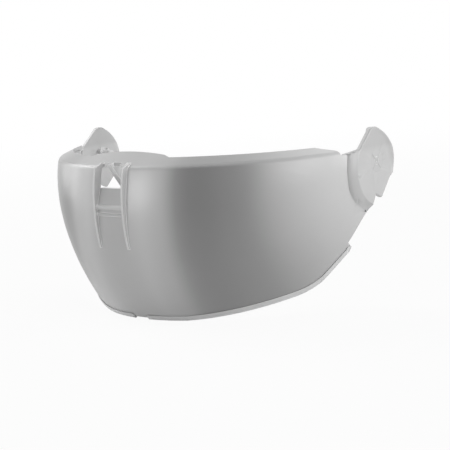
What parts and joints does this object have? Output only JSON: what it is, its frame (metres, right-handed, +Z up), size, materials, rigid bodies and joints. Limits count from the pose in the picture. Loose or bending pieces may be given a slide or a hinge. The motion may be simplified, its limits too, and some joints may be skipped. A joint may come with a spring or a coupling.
{
  "type": "helmet visor",
  "caption": "Smoke tinted wrap-round face visor for an open helmet, with brow ledge, window and brim catch, pivot hubs in both ears and clear lower edging.",
  "frame": {"origin": "centre of the visor's bounding box in plan, on its lowest edge", "axes": "+X towards the wearer's left ear, -Y out of the front of the visor, +Z up"},
  "size_m": [0.2198, 0.1313, 0.1026],
  "materials": {
    "shell": "satin smoke tinted polycarbonate",
    "edging": "clear soft plastic",
    "hub": "satin grey plastic",
    "washer": "plain natural nylon"
  },
  "bodies": {
    "visor": {"visor_shell": "shell", "lower_edging_right": "edging", "lower_edging_left": "edging"},
    "hub_right": {"pivot_hub_right": "hub", "friction_washer_right": "washer", "star_retainer_right": "hub"},
    "hub_left": {"pivot_hub_left": "hub", "friction_washer_left": "washer", "star_retainer_left": "hub"}
  },
  "joints": [
    {"name": "hub_right_turn", "type": "hinge", "parent": "visor", "child": "hub_right", "pos_m": [0.1059, 0.04705, 0.08295], "axis": [1, 0, 0], "range_deg": [0, 60]},
    {"name": "hub_left_turn", "type": "hinge", "parent": "visor", "child": "hub_left", "pos_m": [-0.1059, 0.04705, 0.08295], "axis": [1, 0, 0], "range_deg": [0, 60]}
  ]
}
